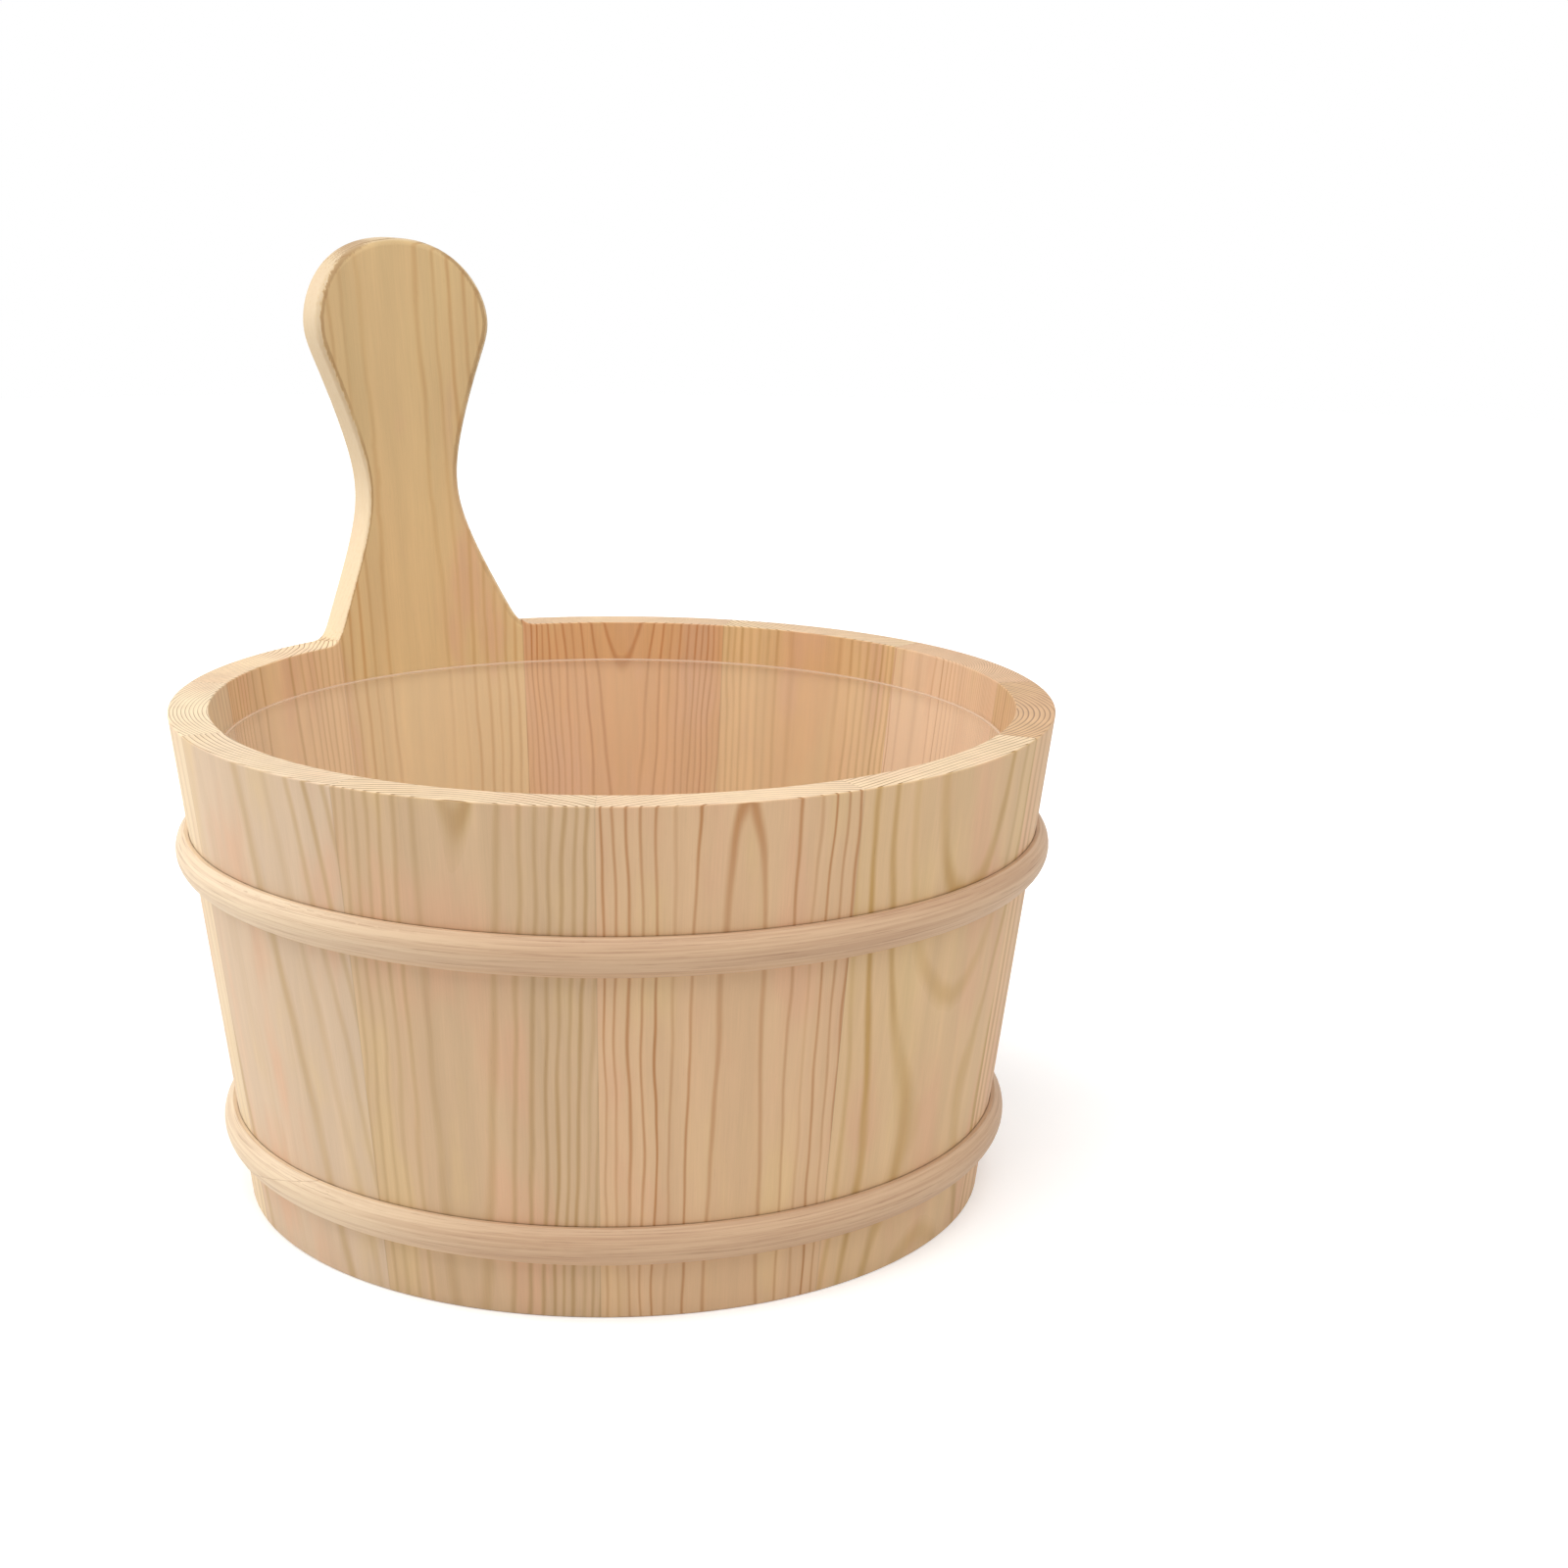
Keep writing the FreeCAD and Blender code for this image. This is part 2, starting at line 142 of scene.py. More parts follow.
GRAIN_FEEDS = (
    ("Across", "NodeSocketFloat"), ("Depth", "NodeSocketFloat"), ("Along", "NodeSocketFloat"),
    ("Heart Across", "NodeSocketFloat"), ("Heart Depth", "NodeSocketFloat"),
    ("Drift", "NodeSocketFloat"), ("Lean", "NodeSocketFloat"), ("Ring", "NodeSocketFloat"),
    ("Phase", "NodeSocketFloat"), ("Band", "NodeSocketFloat"), ("Red Reach", "NodeSocketFloat"),
    ("Swirl", "NodeSocketFloat"), ("Seed", "NodeSocketFloat"), ("Spring", "NodeSocketColor"),
    ("Summer", "NodeSocketColor"), ("End", "NodeSocketColor"), ("Upward", "NodeSocketFloat"),
)
GRAIN_RESULTS = (("Color", "NodeSocketColor"), ("Roughness", "NodeSocketFloat"), ("Height", "NodeSocketFloat"))


def summer_wood(wood, given, reach, slant, faded):
    """How much of a place is summer wood: a band grows dark slowly and ends sharply each year."""
    seed = given["Seed"]
    uneven = wood.noise(wood.vector(wood.sum("DIVIDE", reach, SEASONS_LONG)), seed, 1.0)
    year = wood.sum("ADD", wood.sum("DIVIDE", reach, given["Ring"]), given["Phase"])
    year = wood.sway(uneven, UNEVEN_YEARS, year)
    season = wood.sum("FRACT", year)
    count = wood.vector(wood.sum("FLOOR", year), seed)
    chance = wood.add("TexWhiteNoise", {"Vector": count}, noise_dimensions="3D").outputs["Value"]
    strength = wood.sum("MULTIPLY_ADD", chance, BAND_SPREAD, FAINTEST_BAND)

    # A band looks wider where the saw met it at a slant, and narrower on the end grain
    width = wood.sum("MULTIPLY_ADD", slant, SLANT_WIDENS, given["Band"])
    width = wood.sum("MULTIPLY", width, wood.sum("MULTIPLY_ADD", given["Upward"], END_NARROWS, 1.0))
    starts = wood.sum("SUBTRACT", 1.0, width)
    full = wood.sum("MULTIPLY_ADD", width, BAND_FULL, 1.0)
    keeps = wood.sum("MULTIPLY_ADD", given["Upward"], END_KEEPS, BAND_ENDS)
    ends = wood.sum("MULTIPLY_ADD", width, keeps, 1.0)
    dark = wood.sum("SUBTRACT", wood.step(season, starts, full), wood.step(season, ends, 1.0))
    left = wood.sum("MULTIPLY_ADD", wood.step(faded, FADED_LOW, FADED_HIGH), FADED_MORE, FADED_LEAST)
    summer = wood.sum("MULTIPLY", dark, wood.sum("MULTIPLY", strength, left))
    summer = wood.sum("MULTIPLY_ADD", season, YEAR_DARKENS, summer)
    return wood.sum("MULTIPLY", summer, wood.sum("MULTIPLY_ADD", given["Upward"], END_DARKENS, 1.0))


def wood_colour(wood, given, reach, summer, blush):
    """Spring and summer wood of sap and heart, with rosy and straw-coloured patches."""
    red = wood.step(wood.sum("SUBTRACT", reach, given["Red Reach"]), RED_EDGE, -RED_EDGE)
    spring_colour = wood.blend(wood.sum("MULTIPLY", red, RED_SHARE), given["Spring"], HEARTWOOD)
    summer_colour = wood.blend(red, given["Summer"], HEART_LATE)
    rosy = wood.sum("MULTIPLY", wood.step(blush, ROSE_LOW, ROSE_HIGH), ROSE_SHARE)
    spring_colour = wood.blend(rosy, spring_colour, ROSE)
    strawy = wood.sum("MULTIPLY", wood.step(blush, STRAW_LOW, STRAW_HIGH), STRAW_SHARE)
    spring_colour = wood.blend(strawy, spring_colour, STRAW)
    pale_end = wood.sum("MULTIPLY", given["Upward"], END_PALE_SHARE)
    spring_colour = wood.blend(pale_end, spring_colour, given["End"])
    dark_end = wood.sum("MULTIPLY", given["Upward"], END_LATE_SHARE)
    summer_colour = wood.blend(dark_end, summer_colour, END_LATE)
    return wood.blend(summer, spring_colour, summer_colour)


def make_grain():
    """Pine as it comes from the log: rings round a heart, pale in spring and dark in summer."""
    group = bpy.data.node_groups.new("pine_grain", "ShaderNodeTree")
    for name, kind in GRAIN_FEEDS:
        group.interface.new_socket(name=name, in_out="INPUT", socket_type=kind)
    for name, kind in GRAIN_RESULTS:
        group.interface.new_socket(name=name, in_out="OUTPUT", socket_type=kind)
    wood = Finish(group)
    given = wood.add("NodeGroupInput").outputs
    across, depth, along, seed = (given[name] for name in ("Across", "Depth", "Along", "Seed"))

    def grown(wide, long, detail=2.0, roughness=0.5):
        return wood.noise(wood.stretched(across, depth, along, wide, long), seed, detail, roughness)

    strayed = wood.sway(grown(WANDER_WIDE, WANDER_LONG), WANDER, across)
    strayed = wood.sway(grown(WAVE_WIDE, WAVE_LONG, 1.0), WAVE, strayed)
    heart_across = wood.sum("MULTIPLY_ADD", given["Drift"], along, given["Heart Across"])
    heart_depth = wood.sum("MULTIPLY_ADD", given["Lean"], along, given["Heart Depth"])
    sideways = wood.sum("SUBTRACT", strayed, heart_across)
    reach = wood.length(wood.vector(sideways, wood.sum("SUBTRACT", depth, heart_depth)))
    slant = wood.sum("DIVIDE", wood.sum("ABSOLUTE", sideways), reach)
    reach = wood.sum("ADD", reach, given["Swirl"])

    summer = summer_wood(wood, given, reach, slant, grown(BLUSH_WIDE, 2 * BLUSH_LONG))
    colour = wood_colour(wood, given, reach, summer, grown(BLUSH_WIDE, BLUSH_LONG, 3.0))
    fibre = grown(FIBRE_WIDE, FIBRE_LONG, 3.0, 0.6)
    tint = wood.noise(wood.stretched(strayed, depth, along, TINT_WIDE, TINT_LONG), seed, 3.0, 0.6)
    light = wood.sway(tint, TINT_SHADE, wood.sway(fibre, FIBRE_SHADE, 1.0))
    open_share = wood.sum("MULTIPLY_ADD", summer, PORE_IN_BAND, PORE_LEAST)
    pore = wood.sum("MULTIPLY", wood.step(grown(PORE_WIDE, PORE_LONG, 0.0), PORE_LOW, PORE_HIGH), open_share)
    light = wood.sum("MULTIPLY", light, wood.sum("MULTIPLY_ADD", pore, PORE_SHADE, 1.0))

    rough = wood.sum("MULTIPLY_ADD", summer, BAND_SMOOTHER, PINE_ROUGH)
    rough = wood.sum("MULTIPLY_ADD", fibre, FIBRE_ROUGHER, rough)
    height = wood.sum("MULTIPLY_ADD", fibre, FIBRE_STANDS, summer)
    height = wood.sum("MULTIPLY_ADD", pore, PORE_SINKS, height)
    results = {"Color": wood.scaled(colour, light), "Roughness": rough, "Height": height}
    wood.add("NodeGroupOutput", results)
    return group


GRAIN = make_grain()
GRAIN_RISE, GRAIN_BUMP = 0.03 * MM, 0.5
LEVEL_FROM, LEVEL_FULL = 0.6, 0.9


def start(name, specular=0.35):
    """A new finish with its shader in place and the place on the piece as its first node."""
    material = bpy.data.materials.new(name)
    material.use_nodes = True
    material.node_tree.nodes.clear()
    finish = Finish(material.node_tree)
    shader = finish.add("BsdfPrincipled", {"Specular IOR Level": specular})
    finish.add("OutputMaterial", {"Surface": shader.outputs[0]})
    place = finish.add("TexCoord").outputs["Object"]
    return material, finish, shader, place


def swirled(finish, across, along, swirls):
    """How far the rings bulge round old knots: (across, along, width, height, lift), all in mm."""
    swirl = 0.0
    for middle, height, wide, tall, lift in swirls:
        off = finish.vector(finish.sum("DIVIDE", finish.sum("SUBTRACT", across, middle * MM), wide * MM),
                            finish.sum("DIVIDE", finish.sum("SUBTRACT", along, height * MM), tall * MM))
        far = finish.add("VectorMath", {0: off, 1: off}, operation="DOT_PRODUCT").outputs["Value"]
        bell = finish.sum("EXPONENT", finish.sum("MULTIPLY", far, -1.0))
        swirl = finish.sum("MULTIPLY_ADD", bell, lift * MM, swirl)
    return swirl


def pine(name, seed, heart, ring, spring, summer, place_of, drift=0.0, lean=0.0, phase=0.0, band=0.2,
         red=0.0, swirls=(), marks=None, end=None):
    """Bare pine. heart is how far the log's heart lies across and out, in mm, as are ring and red."""
    material, finish, shader, place = start(name)
    across, depth, along = place_of(finish, place)
    feeds = {
        "Across": across, "Depth": depth, "Along": along,
        "Heart Across": heart[0] * MM, "Heart Depth": heart[1] * MM, "Drift": drift, "Lean": lean,
        "Ring": ring * MM, "Phase": phase, "Band": band, "Red Reach": red * MM,
        "Swirl": swirled(finish, across, along, swirls),
        "Seed": seed, "Spring": tone(*spring), "Summer": tone(*summer),
    }
    if end:
        facing = finish.parts(finish.add("TexCoord").outputs["Normal"])[2]
        feeds["Upward"] = finish.step(facing, LEVEL_FROM, LEVEL_FULL)
        feeds["End"] = tone(*end)
    grain = finish.add("ShaderNodeGroup", node_tree=GRAIN)
    for socket, feed in feeds.items():
        finish.feed(grain.inputs[socket], feed)
    colour = grain.outputs["Color"]
    if marks:
        colour = marks(finish, across, depth, along, colour)
    finish.feed(shader.inputs["Base Color"], colour)
    finish.feed(shader.inputs["Roughness"], grain.outputs["Roughness"])
    rise = {"Height": grain.outputs["Height"], "Strength": GRAIN_BUMP, "Distance": GRAIN_RISE}
    finish.feed(shader.inputs["Normal"], finish.add("Bump", rise).outputs[0])
    return material


def dress(node, material):
    """The CAD piece keeps its shape and takes this finish."""
    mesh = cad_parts[node].data
    mesh.materials.clear()
    mesh.materials.append(material)


def flat_board(finish, place):
    """A board that lies flat with its grain along X."""
    x, y, z = finish.parts(place)
    return y, z, x


BOARD_HEARTS = ((-70, -60), (-35, -48), (25, 70), (110, -55))
BOARD_SPRING = (222, 187, 150)
BOARD_SUMMER = (186, 146, 100)
for number, heart in enumerate(BOARD_HEARTS, start=1):
    node = f"bottom_board_{number}"
    dress(node, pine(node, 40.0 + number, heart, 2.3, BOARD_SPRING, BOARD_SUMMER, flat_board,
                     drift=0.02, lean=0.03, red=58))

# The dowels: six short pegs of plain hardwood, glued into facing holes of neighbouring
# boards. Nothing of them shows once the bottom is joined, and their grain runs lengthways.
PEG_SPRING = (205, 162, 122)
PEG_SUMMER = (182, 136, 98)


def cross_peg(finish, place):
    """A peg that lies flat with its grain along Y."""
    x, y, z = finish.parts(place)
    return x, z, y


dress("bottom_dowels", pine("dowel_beech", 51.0, (60, 40), 1.1, PEG_SPRING, PEG_SUMMER, cross_peg))

# The staves: ten pieces of pine, each bevelled, tapered and hollowed to its place in the
# round, then glued edge to edge and turned smooth as one. Each is cut from its own board,
# so the rings, the heart's side and the reddish heartwood change from stave to stave.
RIM_RADIUS = 135 * MM
FOOT_RADIUS = 115.4 * MM
BODY_HEIGHT = 153 * MM
SLOPE = (RIM_RADIUS - FOOT_RADIUS) / BODY_HEIGHT

# Where the seams stand, in degrees clockwise from the handle, seen from above
SEAMS = (16.75, 50.25, 82.75, 113.25, 148.05, 182.95, 214.65, 246.45, 278.75, 311.05, 343.25)


def stave_place(middle):
    """A place on the stave whose middle stands at this many degrees, clockwise from the handle."""
    def place_of(finish, place):
        x, y, along = finish.turned(place, middle)
        across = finish.sum("MULTIPLY", finish.sum("ARCTAN2", x, y), RIM_RADIUS)
        radius = finish.length(finish.vector(x, y))
        outside = finish.sum("MULTIPLY_ADD", along, SLOPE, FOOT_RADIUS)
        return across, finish.sum("SUBTRACT", radius, outside), along
    return place_of


GLUE_LINE, GLUE_SHADE = 0.3 * MM, 0.16
# Painted contact shade: a thin dark line on the stave's outside at the top edge of each hoop
CONTACT_SHADE_WIDTH, PAINTED_CONTACT_SHADE = 0.5 * MM, 0.38
SKIN = 1 * MM
INNER_FROM, INNER_FULL = -11.0 * MM, -11.8 * MM
# Painted light on the inside wall behind the liner: a paler colour blended in, and the wood made lighter
INSIDE_PAINTED_LIGHT = tone(252, 228, 198)
INSIDE_LIGHT_SHARE, INSIDE_LIGHT_GAIN = 0.15, 0.18
LIP_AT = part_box("liner")[1].z
HOOP_TOPS = [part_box(node)[1].z for node in ("upper_hoop", "lower_hoop")]


def stave_marks(half_width):
    """The glue line at a stave's edges, painted shade at each hoop's top, and painted light behind the liner.
    """
    def marks(finish, across, depth, along, colour):
        near_edge = finish.sum("SUBTRACT", half_width, finish.sum("ABSOLUTE", across))
        shade = finish.sum("MULTIPLY", finish.step(near_edge, GLUE_LINE, 0.0), GLUE_SHADE)
        # Painted contact shade along the top edge of each hoop, on the outside of the wall
        for top in HOOP_TOPS:
            above = finish.sum("ABSOLUTE", finish.sum("SUBTRACT", along, top))
            line = finish.sum("MULTIPLY", finish.step(above, CONTACT_SHADE_WIDTH, 0.0), finish.step(depth, -SKIN, 0.0))
            shade = finish.sum("MULTIPLY_ADD", line, PAINTED_CONTACT_SHADE, shade)
        # Painted light: the inside wall below the liner's lip is made lighter and paler
        inside = finish.step(depth, INNER_FROM, INNER_FULL)
        behind = finish.sum("MULTIPLY", inside, finish.step(along, LIP_AT, LIP_AT - SKIN))
        lighter = finish.sum("MULTIPLY_ADD", behind, INSIDE_LIGHT_GAIN, 1.0)
        glue_and_painted_light = finish.sum("MULTIPLY", finish.sum("SUBTRACT", 1.0, shade), lighter)
        colour = finish.blend(finish.sum("MULTIPLY", behind, INSIDE_LIGHT_SHARE), colour, INSIDE_PAINTED_LIGHT)
        return finish.scaled(colour, glue_and_painted_light)
    return marks


END_GRAIN = (236, 216, 184)


def saw_stave(number, end=END_GRAIN, **log):
    """One stave from its own log: the heart and rings that its face in the photograph asks for."""
    name = f"side_stave_{number:02d}"
    middle = (SEAMS[number - 1] + SEAMS[number]) / 2
    half_width = math.radians(SEAMS[number] - SEAMS[number - 1]) / 2 * RIM_RADIUS
    dress(name, pine(name, float(number), place_of=stave_place(middle), marks=stave_marks(half_width),
                     end=end, **log))


saw_stave(1, heart=(0, 27.9), ring=1.6, lean=-0.02, red=90, phase=0.7, swirls=((0, 160, 16, 16, -0.9),),
          spring=(220, 176, 128), summer=(184, 126, 76))
saw_stave(2, heart=(0.5, 30), ring=1.8, lean=-0.004, band=0.32, red=43, swirls=((3.5, 100, 9, 14, 0.3),),
          spring=(222, 184, 134), summer=(188, 144, 86))
saw_stave(3, heart=(-22, -66), ring=0.9,
          spring=(228, 192, 156), summer=(196, 148, 108), end=(200, 164, 128))
saw_stave(4, heart=(12, -90), ring=1.6, lean=-0.006, band=0.5,
          spring=(220, 182, 140), summer=(184, 138, 92), end=(190, 152, 114))
saw_stave(5, heart=(-6, 137), ring=1.8, band=0.34, phase=0.2,
          swirls=((-8, 160, 24, 40, -0.6), (-6, 45, 44, 60, 4.1)),
          spring=(214, 180, 138), summer=(186, 146, 86))
saw_stave(6, heart=(-5.2, 44.6), ring=2.1, drift=0.01, lean=0.005, band=0.1, phase=0.28,
          swirls=((-4.5, 160, 14, 22, 0.25),), spring=(213, 177, 138), summer=(178, 126, 78))
saw_stave(7, heart=(6.0, 43.3), ring=2.0, drift=-0.037, lean=-0.0095, band=0.3, phase=-0.03,
          swirls=((0.7, 160, 10, 14, -0.35),), spring=(206, 174, 137), summer=(178, 142, 94))
saw_stave(8, heart=(4.5, -252), ring=1.6, drift=0.15, band=0.36, phase=5.5,
          spring=(210, 183, 153), summer=(184, 150, 102))
saw_stave(9, heart=(-8, -140), ring=1.2, lean=-0.013, band=0.34,
          spring=(228, 204, 168), summer=(206, 176, 138))
saw_stave(10, heart=(1.4, 31), ring=1.6, lean=0.003, red=33,
          spring=(226, 190, 146), summer=(196, 154, 104))

# The handle stave: the eleventh stave, of one board with the rest of the wall below the
# rim, and sawn above it to a neck and a round lobe whose edges are rounded by hand. Its
# sawn edges are fuzzy and painted pale, partly as pale sawn wood and partly as a painted
# highlight. Its rounded arrises are painted darker, partly from rubbing and partly as
# painted shade, and the handle grows darker from its neck up into the lobe.
HANDLE_MIDDLE = 0.0
HANDLE_HALF = math.radians(SEAMS[0]) * RIM_RADIUS
# The sawn edges' colour: pale fuzzy sawn wood, and a painted highlight on the edge faces
SAWN_EDGE_AND_HIGHLIGHT = tone(224, 202, 168)
SAWN_HIGHLIGHT_FROM, SAWN_HIGHLIGHT_FULL, SAWN_HIGHLIGHT_SHARE, SAWN_HIGHLIGHT_PATCHY = 0.5, 0.72, 0.76, 0.9
# The darker rounded arrises: darkened by rubbing, and painted shade where the rounding turns from the light
RUBBED_AND_SHADED = tone(150, 110, 64)
RUBBED_SHADE_FROM, RUBBED_SHADE_FULL, RUBBED_SHADE_FADES, RUBBED_SHADE_ENDS = 0.10, 0.26, 0.46, 0.62
WORN_SHADE_LOW, WORN_SHADE_HIGH, WORN_SHADE_LEAST, WORN_SHADE_MORE = 0.42, 0.58, 0.12, 0.42
FUZZ_WIDE, FUZZ_LONG, FUZZ_BLURS = 0.5 * MM, 5 * MM, 1.2
# The handle grows darker from its neck up into the lobe
LOBE_DARKER_FROM, LOBE_DARKER_FULL, LOBE_DARKENS = 175 * MM, 235 * MM, -0.14


def handle_marks(finish, across, depth, along, colour):
    """The sawn edge, pale wood with a painted highlight; the arris, darkened by rubbing and painted shade; the
    lobe, darker towards its top.
    """
    colour = stave_marks(HANDLE_HALF)(finish, across, depth, along, colour)
    spot = finish.add("TexCoord").outputs
    ground = finish.add("VectorMath", {0: spot["Object"], 1: (1, 1, 0)}, operation="MULTIPLY").outputs[0]
    outward = finish.add("VectorMath", {0: ground}, operation="NORMALIZE").outputs[0]
    crossed = finish.add("VectorMath", {0: spot["Normal"], 1: outward}, operation="CROSS_PRODUCT").outputs[0]
    sideways = finish.sum("ABSOLUTE", finish.parts(crossed)[2])
    fuzz = finish.noise(finish.stretched(across, depth, along, FUZZ_WIDE, FUZZ_LONG), 31.0)
    fuzz = finish.sum("SUBTRACT", fuzz, 0.5)
    side = finish.sum("MULTIPLY_ADD", finish.sum("MULTIPLY", fuzz, sideways), FUZZ_BLURS, sideways)
    # Painted shade on the rounded arris, mixed with the darkening of rubbing
    rubbed_and_shaded = finish.sum("MULTIPLY", finish.step(side, RUBBED_SHADE_FROM, RUBBED_SHADE_FULL),
                        finish.step(side, RUBBED_SHADE_ENDS, RUBBED_SHADE_FADES))
    worn_and_shaded = finish.noise(finish.stretched(across, depth, along, BLUSH_WIDE, BLUSH_LONG), 33.0)
    worn_and_shaded = finish.sum("MULTIPLY_ADD", finish.step(worn_and_shaded, WORN_SHADE_LOW, WORN_SHADE_HIGH), WORN_SHADE_MORE, WORN_SHADE_LEAST)
    colour = finish.blend(finish.sum("MULTIPLY", rubbed_and_shaded, worn_and_shaded), colour, RUBBED_AND_SHADED)
    # Painted highlight on the sawn edge faces, mixed with the pale fuzzy sawn wood
    patchy = finish.sum("MULTIPLY_ADD", fuzz, SAWN_HIGHLIGHT_PATCHY, SAWN_HIGHLIGHT_SHARE)
    sawn_and_highlit = finish.sum("MULTIPLY", finish.step(side, SAWN_HIGHLIGHT_FROM, SAWN_HIGHLIGHT_FULL), patchy)
    colour = finish.blend(sawn_and_highlit, colour, SAWN_EDGE_AND_HIGHLIGHT)
    # Darker from the neck up into the lobe
    towards_lobe_top = finish.step(along, LOBE_DARKER_FROM, LOBE_DARKER_FULL)
    return finish.scaled(colour, finish.sum("MULTIPLY_ADD", towards_lobe_top, LOBE_DARKENS, 1.0))


dress("handle_stave", pine("handle_stave", 11.0, (-4.5, 34), 2.4, (216, 184, 134), (200, 158, 104),
                           stave_place(HANDLE_MIDDLE), lean=0.002, swirls=((-5, 150, 16, 30, -0.6),),
                           marks=handle_marks, end=END_GRAIN))

# The hoops: half-round strips of straight-grained pine, steamed, bent round the pail and
# glued to themselves in a long slanting scarf, then driven down the taper until they hold.
# The side of each hoop that faces the left of the view is painted pale, as a painted highlight where the
# window lights it.
HOOP_PALE = tone(208, 176, 142)
HOOP_DEEP = tone(184, 147, 116)
DEEP_SHARE = 0.62
MOTTLE_SHARE = 0.6
# The painted highlight on the hoops' left side: its colour, where it is brightest, and how much it shows
HOOP_HIGHLIGHT = tone(234, 214, 182)
HIGHLIGHT_MIDDLE = 302
HIGHLIGHT_FROM, HIGHLIGHT_FULL, HIGHLIGHT_SHARE, HIGHLIGHT_IN_STREAKS = 0.1, 0.95, 0.85, -0.25
STREAK_WIDE, STREAK_LONG, STREAK_LOW, STREAK_HIGH = 0.9 * MM, 70 * MM, 0.36, 0.66
HOOP_FIBRE = tone(146, 104, 76)
THREAD_WIDE, THREAD_LONG, THREAD_LOW, THREAD_HIGH, THREAD_SHARE = 0.3 * MM, 22 * MM, 0.56, 0.72, 0.42
SCARFS = {"upper_hoop": 318, "lower_hoop": 269}
SCARF_SLANT, SCARF_EDGE, SCARF_SHARE = 0.030, 0.5 * MM, 0.55
HOOP_SMOOTHEST, HOOP_ROUGHER = 0.46, 0.16
HOOP_RISE, HOOP_BUMP, THREAD_SINKS = 0.06 * MM, 0.6, -1.2


def bent_strip(name, seed, middle, scarf):
    """Straight-grained wood that runs round the pail, with its glued scarf at this many degrees."""
    material, finish, shader, place = start(name)
    x, y, z = finish.turned(place, scarf + 180)
    height = finish.sum("SUBTRACT", z, middle)
    slant = finish.sum("DIVIDE", height, SCARF_SLANT)
    angle = finish.sum("ADD", finish.sum("ARCTAN2", x, y), slant)
    along = finish.sum("MULTIPLY", finish.sum("WRAP", angle, math.pi, -math.pi), RIM_RADIUS)
    radius = finish.length(finish.vector(x, y))
    streaks = finish.noise(finish.stretched(height, radius, along, STREAK_WIDE, STREAK_LONG), seed, 3.0, 0.6)
    threads = finish.noise(finish.stretched(height, radius, along, THREAD_WIDE, THREAD_LONG), seed, 1.0)
    mottle = finish.noise(finish.stretched(height, radius, along, BLUSH_WIDE, BLUSH_LONG), seed)

    shade = finish.sum("MULTIPLY_ADD", mottle, MOTTLE_SHARE, finish.step(streaks, STREAK_LOW, STREAK_HIGH))
    colour = finish.blend(finish.sum("MULTIPLY", shade, DEEP_SHARE), HOOP_PALE, HOOP_DEEP)
    # Painted highlight: the side of the hoop towards the window is painted paler
    towards = finish.sum("DIVIDE", finish.turned(place, HIGHLIGHT_MIDDLE)[1], radius)
    highlight = finish.sum("MULTIPLY", finish.step(towards, HIGHLIGHT_FROM, HIGHLIGHT_FULL),
                     finish.sum("MULTIPLY_ADD", shade, HIGHLIGHT_IN_STREAKS, HIGHLIGHT_SHARE))
    colour = finish.blend(highlight, colour, HOOP_HIGHLIGHT)
    dark = finish.sum("MULTIPLY", finish.step(threads, THREAD_LOW, THREAD_HIGH), THREAD_SHARE)
    colour = finish.blend(dark, colour, HOOP_FIBRE)
    near_scarf = finish.sum("SUBTRACT", math.pi * RIM_RADIUS, finish.sum("ABSOLUTE", along))
    glued = finish.sum("MULTIPLY", finish.step(near_scarf, SCARF_EDGE, 0.0), SCARF_SHARE)
    finish.feed(shader.inputs["Base Color"], finish.blend(glued, colour, HOOP_FIBRE))

    rough = finish.sum("MULTIPLY_ADD", streaks, HOOP_ROUGHER, HOOP_SMOOTHEST)
    finish.feed(shader.inputs["Roughness"], rough)
    rise = finish.sum("SUBTRACT", finish.sum("MULTIPLY_ADD", dark, THREAD_SINKS, streaks), glued)
    bump = finish.add("Bump", {"Height": rise, "Strength": HOOP_BUMP, "Distance": HOOP_RISE})
    finish.feed(shader.inputs["Normal"], bump.outputs[0])
    return material


for number, (node, scarf) in enumerate(SCARFS.items()):
    low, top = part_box(node)
    dress(node, bent_strip(node, 60.0 + number, (low.z + top.z) / 2, scarf))

# The liner: one thin moulding of clear, slightly milky plastic with a flat floor, rounded
# corner and plain cut top edge. It stands loose on the bottom and lifts out to be rinsed.
# It shows most at its cut lip, and where the eye meets its wall or floor at a slant.
CLEAREST, MILKIER = 0.025, 0.04
LIP, LIP_SHARE = 0.7 * MM, 0.45
GRAZED_SHARE, GRAZED_POWER = 0.22, 4.0
PLASTIC = tone(252, 232, 214)
SCUFFED = tone(246, 228, 212)
LIP_TONE = tone(222, 194, 168)
SCUFF_WIDE, SCUFF_LONG = 9 * MM, 40 * MM
SCUFF_ROUGH = 0.15
liner_finish, milky, liner_shader, liner_spot = start("liner_plastic", 0.5)
liner_parts = milky.parts(liner_spot)
at_lip = milky.step(liner_parts[2], LIP_AT - LIP, LIP_AT - 0.5 * LIP)
scuffs = milky.noise(milky.stretched(*liner_parts, SCUFF_WIDE, SCUFF_LONG), 3.0)
haze = milky.sum("MULTIPLY_ADD", scuffs, MILKIER, CLEAREST)
grazed = milky.sum("POWER", milky.add("LayerWeight", {"Blend": 0.5}).outputs["Facing"], GRAZED_POWER)
haze = milky.sum("MULTIPLY_ADD", grazed, GRAZED_SHARE, haze)
milky.feed(liner_shader.inputs["Alpha"], milky.sum("MULTIPLY_ADD", at_lip, LIP_SHARE, haze))
